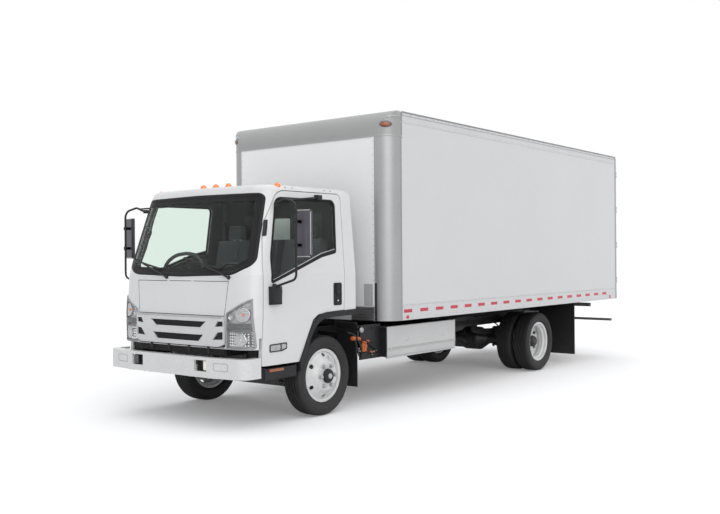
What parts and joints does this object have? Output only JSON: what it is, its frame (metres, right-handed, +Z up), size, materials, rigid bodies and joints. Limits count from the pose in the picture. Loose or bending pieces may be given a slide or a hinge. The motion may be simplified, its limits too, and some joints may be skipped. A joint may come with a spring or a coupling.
{
  "type": "box truck",
  "caption": "Medium-duty box truck: tilting cab-over cab on a ladder frame, twin rear wheels, and a hollow van body with rounded front corners and swing rear doors.",
  "frame": {"origin": "on the ground, midway along and across the whole truck", "axes": "+Z up, +Y towards the rear of the truck, +X towards its left (driver's) side"},
  "size_m": [2.7308, 8.124, 3.1819],
  "materials": {
    "frame_paint": "satin black chassis paint",
    "cast_block": "rough cast",
    "exhaust_steel": "heat-dulled steel",
    "bright_aluminium": "smooth sheet with rivet rows",
    "black_plastic": "grained moulding",
    "bumper_paint": "gloss white",
    "underride_steel": "plain steel bar",
    "rubber": "matt sheet",
    "box_panel": "smooth white laminate",
    "grey_aluminium": "satin extrusion",
    "deck_wood": "oiled hardwood boards",
    "cab_paint": "gloss white",
    "clear_glass": "light green tint",
    "grille_plastic": "light grey moulding",
    "lamp_lens": "clear lens over bright reflectors",
    "amber_lens": "amber lens",
    "seat_fabric": "dark woven cloth",
    "dash_plastic": "dark grained moulding",
    "tyre": "moulded rubber",
    "wheel_paint": "white enamel"
  },
  "bodies": {
    "chassis": {"ladder_frame": "frame_paint", "front_axle": "frame_paint", "rear_axle": "frame_paint", "leaf_springs": "frame_paint", "engine_block": "cast_block", "driveshaft": "frame_paint", "exhaust": "exhaust_steel", "fuel_tank": "frame_paint", "side_cover": "bright_aluminium", "equipment_plate": "black_plastic", "front_bumper": "bumper_paint", "underride_bar": "underride_steel", "mud_flaps": "rubber", "box_front_wall": "box_panel", "box_corner_posts": "grey_aluminium", "box_front_cap": "grey_aluminium", "box_side_panels": "box_panel", "box_rails": "grey_aluminium", "box_roof": "box_panel", "box_rear_frame": "grey_aluminium", "box_floor": "deck_wood", "box_subframe": "frame_paint"},
    "cab": {"cab_shell": "cab_paint", "cab_glass": "clear_glass", "grille": "grille_plastic", "headlamps": "lamp_lens", "roof_lamps": "amber_lens", "arch_flares": "black_plastic", "side_steps": "black_plastic", "seats": "seat_fabric", "dashboard": "dash_plastic"},
    "front_lid": {"front_lid": "cab_paint"},
    "steering_wheel": {"steering_wheel": "dash_plastic"},
    "tie_rod": {"tie_rod": "frame_paint"},
    "door_left": {"door_left": "cab_paint", "door_glass_left": "clear_glass", "mirror_left": "black_plastic"},
    "knuckle_left": {"knuckle_left": "frame_paint"},
    "front_wheel_left": {"front_tyre_left": "tyre", "front_rim_left": "wheel_paint"},
    "rear_wheel_left": {"rear_tyres_left": "tyre", "rear_rims_left": "wheel_paint"},
    "cargo_door_left": {"cargo_door_left": "box_panel"},
    "door_right": {"door_right": "cab_paint", "door_glass_right": "clear_glass", "mirror_right": "black_plastic"},
    "knuckle_right": {"knuckle_right": "frame_paint"},
    "front_wheel_right": {"front_tyre_right": "tyre", "front_rim_right": "wheel_paint"},
    "rear_wheel_right": {"rear_tyres_right": "tyre", "rear_rims_right": "wheel_paint"},
    "cargo_door_right": {"cargo_door_right": "box_panel"}
  },
  "joints": [
    {"name": "cab_tilt", "type": "hinge", "parent": "chassis", "child": "cab", "pos_m": [0, -3.782, 0.7], "axis": [1, 0, 0], "range_deg": [0, 45]},
    {"name": "front_lid_lift", "type": "hinge", "parent": "cab", "child": "front_lid", "pos_m": [0, -3.89631, 1.379], "axis": [-1, 0, 0], "range_deg": [0, 75]},
    {"name": "door_left_swing", "type": "hinge", "parent": "cab", "child": "door_left", "pos_m": [0.98, -3.76, 0.592], "axis": [0, -0.041, -0.9992], "range_deg": [0, 70]},
    {"name": "door_right_swing", "type": "hinge", "parent": "cab", "child": "door_right", "pos_m": [-0.98, -3.76, 0.592], "axis": [0, 0.041, 0.9992], "range_deg": [0, 70]},
    {"name": "steer_left", "type": "hinge", "parent": "chassis", "child": "knuckle_left", "pos_m": [0.7, -2.822, 0.405], "axis": [0, 0, 1], "range_deg": [-36, 36]},
    {"name": "steer_right", "type": "hinge", "parent": "chassis", "child": "knuckle_right", "pos_m": [-0.7, -2.822, 0.405], "axis": [0, 0, 1], "range_deg": [-37, 37]},
    {"name": "tie_rod_turn", "type": "hinge", "parent": "knuckle_left", "child": "tie_rod", "pos_m": [0.7, -2.647, 0.293], "axis": [0, 0, 1], "range_deg": [-37, 37]},
    {"name": "steering_wheel_turn", "type": "hinge", "parent": "cab", "child": "steering_wheel", "pos_m": [0.43, -3.462, 1.43], "axis": [0, 0.5736, 0.8191], "range_deg": [-586, 586]},
    {"name": "front_wheel_left_spin", "type": "hinge", "parent": "knuckle_left", "child": "front_wheel_left", "pos_m": [0.832, -2.822, 0.405], "axis": [1, 0, 0], "continuous": true},
    {"name": "rear_wheel_left_spin", "type": "hinge", "parent": "chassis", "child": "rear_wheel_left", "pos_m": [0.828, 1.648, 0.405], "axis": [1, 0, 0], "continuous": true},
    {"name": "front_wheel_right_spin", "type": "hinge", "parent": "knuckle_right", "child": "front_wheel_right", "pos_m": [-0.832, -2.822, 0.405], "axis": [1, 0, 0], "continuous": true},
    {"name": "rear_wheel_right_spin", "type": "hinge", "parent": "chassis", "child": "rear_wheel_right", "pos_m": [-0.828, 1.648, 0.405], "axis": [1, 0, 0], "continuous": true},
    {"name": "cargo_door_left_swing", "type": "hinge", "parent": "chassis", "child": "cargo_door_left", "pos_m": [1.205, 4.043, 2], "axis": [0, 0, -1], "range_deg": [0, 240]},
    {"name": "cargo_door_right_swing", "type": "hinge", "parent": "chassis", "child": "cargo_door_right", "pos_m": [-1.205, 4.043, 2], "axis": [0, 0, 1], "range_deg": [0, 240]}
  ],
  "couplings": [
    {"joint": "steer_right", "follows": "steer_left", "ratio": 1},
    {"joint": "tie_rod_turn", "follows": "steer_left", "ratio": -1},
    {"joint": "steering_wheel_turn", "follows": "steer_left", "ratio": 16}
  ]
}
